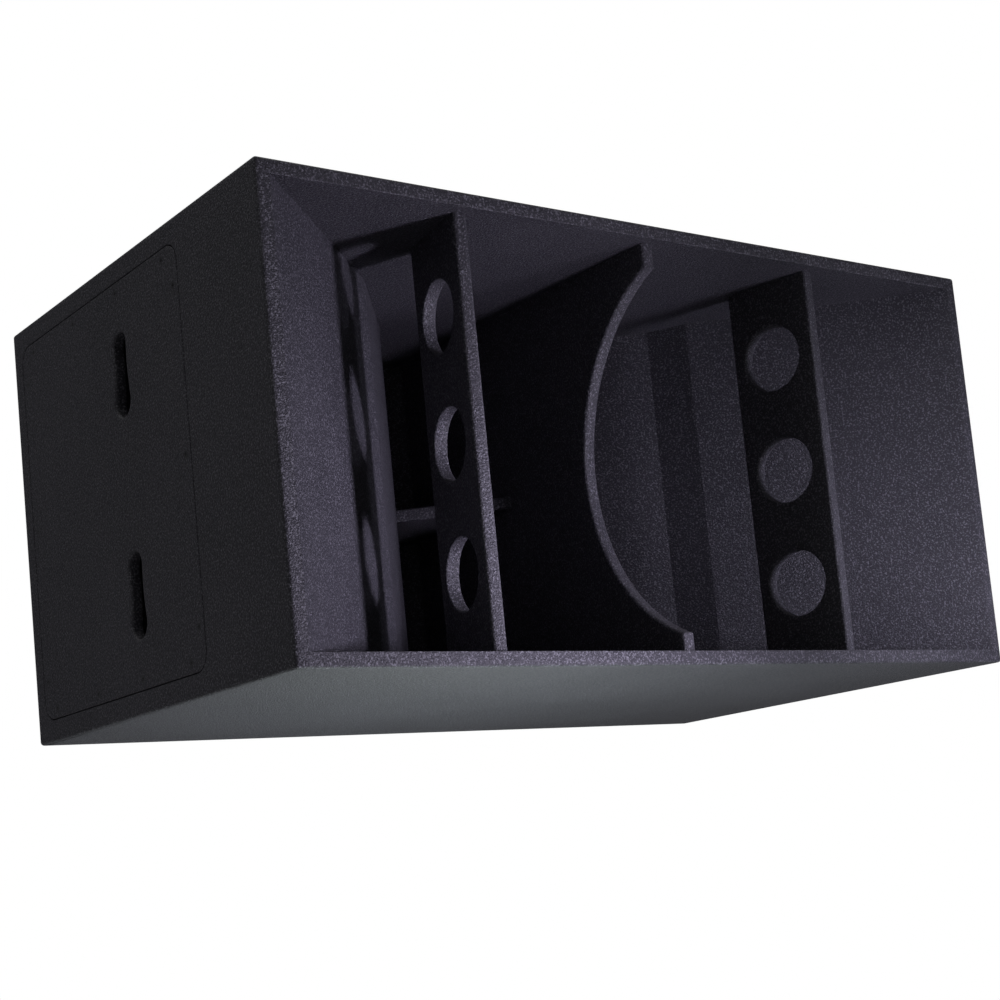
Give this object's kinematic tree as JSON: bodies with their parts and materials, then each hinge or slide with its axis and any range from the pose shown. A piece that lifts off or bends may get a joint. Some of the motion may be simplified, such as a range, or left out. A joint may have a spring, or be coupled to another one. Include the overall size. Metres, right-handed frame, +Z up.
{
  "type": "pa speaker cabinet",
  "caption": "Folded-horn bass cabinet with a wide open mouth, perforated side braces, a centre brace with a round bite and a bolted side hatch over the driver.",
  "frame": {"origin": "middle of the bottom face, on the floor", "axes": "+X to the right seen from the mouth, +Y from the mouth to the back, +Z up"},
  "size_m": [1.14, 0.684, 0.562],
  "materials": {
    "textured_paint": "plywood with fine textured black polyurea paint, matt",
    "bare_plywood": "bare birch plywood, satin",
    "foam": "closed-cell foam, matt",
    "cup_plastic": "moulded black plastic, matt",
    "basket": "pressed steel, black powder coat",
    "motor_steel": "zinc-plated steel, satin",
    "ferrite": "sintered ferrite, matt",
    "surround_cloth": "doped cloth, satin",
    "spider_cloth": "phenolic-coated cotton, matt",
    "cone_paper": "pressed paper pulp, black, matt",
    "copper": "wound copper on a fibre former",
    "dish_plastic": "moulded black plastic, fine texture",
    "socket_plastic": "blue-black glass-filled plastic",
    "grommet_rubber": "black rubber, matt",
    "wire_red": "PVC insulation, red",
    "wire_black": "PVC insulation, black",
    "black_screw": "black oxide steel",
    "zinc_bolt": "zinc-plated steel"
  },
  "bodies": {
    "cabinet": {"bottom_panel": "textured_paint", "top_panel": "textured_paint", "left_side_panel": "textured_paint", "right_side_panel": "textured_paint", "back_panel": "textured_paint", "left_flare_front": "textured_paint", "left_flare_rear": "textured_paint", "right_flare_front": "textured_paint", "right_flare_rear": "textured_paint", "left_brace": "textured_paint", "right_brace": "textured_paint", "centre_brace": "textured_paint", "passage_shelf": "textured_paint", "driver_baffle": "textured_paint", "hatch_frame": "bare_plywood", "driver_frame": "basket", "driver_top_plate": "motor_steel", "driver_back_plate": "motor_steel", "driver_magnet": "ferrite", "driver_surround": "surround_cloth", "driver_spider": "spider_cloth", "connector_dish": "dish_plastic", "speaker_socket": "socket_plastic", "wire_grommet": "grommet_rubber", "wire_positive": "wire_red", "wire_negative": "wire_black", "dish_screw_1": "black_screw", "dish_screw_2": "black_screw", "dish_screw_3": "black_screw", "dish_screw_4": "black_screw", "driver_bolt_1": "zinc_bolt", "driver_bolt_2": "zinc_bolt", "driver_bolt_3": "zinc_bolt", "driver_bolt_4": "zinc_bolt", "driver_bolt_5": "zinc_bolt", "driver_bolt_6": "zinc_bolt", "driver_bolt_7": "zinc_bolt", "driver_bolt_8": "zinc_bolt"},
    "hatch": {"access_hatch": "textured_paint", "hatch_gasket": "foam", "hand_cup_upper": "cup_plastic", "hand_cup_lower": "cup_plastic", "hatch_screw_01": "black_screw", "hatch_screw_02": "black_screw", "hatch_screw_03": "black_screw", "hatch_screw_04": "black_screw", "hatch_screw_05": "black_screw", "hatch_screw_06": "black_screw", "hatch_screw_07": "black_screw", "hatch_screw_08": "black_screw", "hatch_screw_09": "black_screw", "hatch_screw_10": "black_screw", "hatch_screw_11": "black_screw", "hatch_screw_12": "black_screw", "hatch_screw_13": "black_screw", "hatch_screw_14": "black_screw"},
    "cone": {"driver_cone": "cone_paper", "driver_dust_cap": "cone_paper", "voice_coil": "copper"}
  },
  "joints": [
    {"name": "cone_travel", "type": "slide", "parent": "cabinet", "child": "cone", "axis": [0.518, 0.8554, 0], "range_m": [-0.008, 0.008], "stiffness_N_per_m": 5000},
    {"name": "hatch_lift_off", "type": "slide", "parent": "cabinet", "child": "hatch", "axis": [-1, 0, 0], "range_m": [0, 0.2]}
  ]
}
